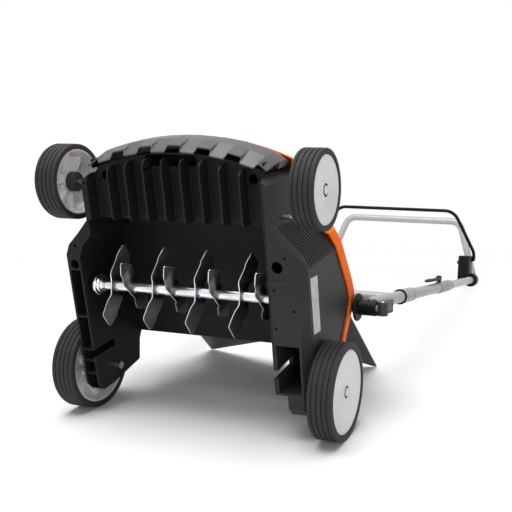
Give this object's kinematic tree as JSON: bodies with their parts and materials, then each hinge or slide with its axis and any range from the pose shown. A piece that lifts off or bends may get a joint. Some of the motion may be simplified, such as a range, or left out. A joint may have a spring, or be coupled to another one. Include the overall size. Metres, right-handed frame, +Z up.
{
  "type": "cordless lawn scarifier",
  "caption": "Walk-behind battery lawn scarifier tipped back on its rear wheels and handlebar, its bladed rotor, ribbed chin, wheels, flap and telescopic handle open to view.",
  "frame": {"origin": "on the floor under the middle of the tipped machine's overall box", "axes": "+Z up from the floor; +Y from the wheels along the floor towards the grip bar; +X across the machine, to the right in the picture"},
  "size_m": [0.6882, 1.7181, 0.6043],
  "materials": {
    "housing": "fine matt moulded texture",
    "bumper": "satin moulded",
    "orange": "satin gloss",
    "black": "satin",
    "bail": "gloss black coat",
    "tyre": "matt, ribbed",
    "belt": "matt",
    "rim": "silver grey, satin",
    "cap": "smooth, light grey",
    "zinc": "zinc plated",
    "bronze": "plain",
    "blade": "hardened spring steel, bright edges",
    "motor": "plain can",
    "tube": "light grey powder coat",
    "sleeve": "light grey, satin"
  },
  "bodies": {
    "chassis": {"chassis_housing": "housing", "drive_cover": "housing", "front_bumper": "bumper", "hood": "orange", "hood_fascia": "bumper", "battery_tray": "black", "controller": "black", "motor": "motor", "drive_belt": "belt", "bearing_left": "zinc", "bearing_right": "bronze", "rear_axle_pin_left": "zinc", "rear_axle_pin_right": "zinc", "flap_pin": "zinc", "pivot_disc_left": "black", "pivot_disc_right": "black", "pivot_stud_left": "zinc", "pivot_stud_right": "zinc"},
    "rotor": {"rotor_shaft": "zinc", "rotor_pulley": "zinc", "blade_a1": "blade", "blade_a2": "blade", "blade_a3": "blade", "blade_a4": "blade", "blade_b1": "blade", "blade_b2": "blade", "blade_b3": "blade", "blade_b4": "blade"},
    "motor_spindle": {"motor_pulley": "zinc"},
    "lid": {"battery_lid": "bumper"},
    "battery_pack": {"battery": "black"},
    "depth_crank": {"front_axle": "zinc", "depth_lever": "black"},
    "flap": {"discharge_flap": "housing"},
    "handle_lower": {"lower_handle": "tube", "leg_sleeve_left": "sleeve", "leg_sleeve_right": "sleeve", "slide_clamp_left": "sleeve", "slide_clamp_right": "sleeve"},
    "clamp_left": {"clamp_lever_left": "black"},
    "clamp_right": {"clamp_lever_right": "black"},
    "slide_lock_left": {"slide_lever_left": "black"},
    "slide_lock_right": {"slide_lever_right": "black"},
    "handle_upper": {"upper_handle": "tube", "switch_box": "black", "bail_bracket": "black"},
    "button": {"lock_button": "black"},
    "dead_man_bail": {"bail": "bail"},
    "rear_wheel_left": {"rear_wheel_left_tyre": "tyre", "rear_wheel_left_rim": "rim", "rear_wheel_left_cap": "cap"},
    "rear_wheel_right": {"rear_wheel_right_tyre": "tyre", "rear_wheel_right_rim": "rim", "rear_wheel_right_cap": "cap"},
    "front_wheel_left": {"front_wheel_left_tyre": "tyre", "front_wheel_left_rim": "rim", "front_wheel_left_cap": "cap"},
    "front_wheel_right": {"front_wheel_right_tyre": "tyre", "front_wheel_right_rim": "rim", "front_wheel_right_cap": "cap"}
  },
  "joints": [
    {"name": "rotor_spin", "type": "hinge", "parent": "chassis", "child": "rotor", "pos_m": [0, -0.78299, 0.29444], "axis": [1, 0, 0], "continuous": true},
    {"name": "motor_spin", "type": "hinge", "parent": "chassis", "child": "motor_spindle", "pos_m": [0, -0.62583, 0.37481], "axis": [1, 0, 0], "continuous": true},
    {"name": "lid_hinge", "type": "hinge", "parent": "chassis", "child": "lid", "pos_m": [0, -0.47349, 0.23276], "axis": [1, 0, 0], "range_deg": [-80, 0]},
    {"name": "battery_slide", "type": "slide", "parent": "chassis", "child": "battery_pack", "axis": [0, 0.9945, 0.1045], "range_m": [0, 0.024]},
    {"name": "depth_crank_turn", "type": "hinge", "parent": "chassis", "child": "depth_crank", "pos_m": [0, -0.77629, 0.45452], "axis": [1, 0, 0], "range_deg": [-12, 12]},
    {"name": "flap_hinge", "type": "hinge", "parent": "chassis", "child": "flap", "pos_m": [0, -0.49619, 0.20041], "axis": [1, 0, 0], "range_deg": [-95, 30]},
    {"name": "handle_fold", "type": "hinge", "parent": "chassis", "child": "handle_lower", "pos_m": [0, -0.54352, 0.2259], "axis": [1, 0, 0], "range_deg": [-20, 80]},
    {"name": "handle_slide", "type": "slide", "parent": "handle_lower", "child": "handle_upper", "axis": [0, 0.9865, -0.1636], "range_m": [-0.24, 0.08]},
    {"name": "clamp_left_turn", "type": "hinge", "parent": "handle_lower", "child": "clamp_left", "pos_m": [-0.3321, -0.54352, 0.2259], "axis": [0, 0.1636, 0.9865], "range_deg": [0, 110]},
    {"name": "clamp_right_turn", "type": "hinge", "parent": "handle_lower", "child": "clamp_right", "pos_m": [0.3321, -0.54352, 0.2259], "axis": [0, 0.1636, 0.9865], "range_deg": [-110, 0]},
    {"name": "slide_lock_left_turn", "type": "hinge", "parent": "handle_lower", "child": "slide_lock_left", "pos_m": [0, 0.14679, 0.14951], "axis": [1, 0, 0], "range_deg": [-100, 0]},
    {"name": "slide_lock_right_turn", "type": "hinge", "parent": "handle_lower", "child": "slide_lock_right", "pos_m": [0, 0.14679, 0.14951], "axis": [1, 0, 0], "range_deg": [-100, 0]},
    {"name": "button_press", "type": "slide", "parent": "handle_upper", "child": "button", "axis": [1, 0, 0], "range_m": [0, 0.004], "stiffness_N_per_m": 300, "springref_m": -0.002},
    {"name": "bail_swing", "type": "hinge", "parent": "handle_upper", "child": "dead_man_bail", "pos_m": [0, 0.7356, 0.09988], "axis": [1, 0, 0], "range_deg": [-42, 0], "stiffness_Nm_per_rad": 5, "springref_deg": 11.46},
    {"name": "rear_wheel_left_spin", "type": "hinge", "parent": "chassis", "child": "rear_wheel_left", "pos_m": [0, -0.734, 0.1], "axis": [1, 0, 0], "continuous": true},
    {"name": "rear_wheel_right_spin", "type": "hinge", "parent": "chassis", "child": "rear_wheel_right", "pos_m": [0, -0.734, 0.1], "axis": [1, 0, 0], "continuous": true},
    {"name": "front_wheel_left_spin", "type": "hinge", "parent": "depth_crank", "child": "front_wheel_left", "pos_m": [0, -0.78188, 0.50773], "axis": [1, 0, 0], "continuous": true},
    {"name": "front_wheel_right_spin", "type": "hinge", "parent": "depth_crank", "child": "front_wheel_right", "pos_m": [0, -0.78188, 0.50773], "axis": [1, 0, 0], "continuous": true}
  ],
  "couplings": [
    {"joint": "motor_spin", "follows": "rotor_spin", "ratio": 1.7143}
  ]
}
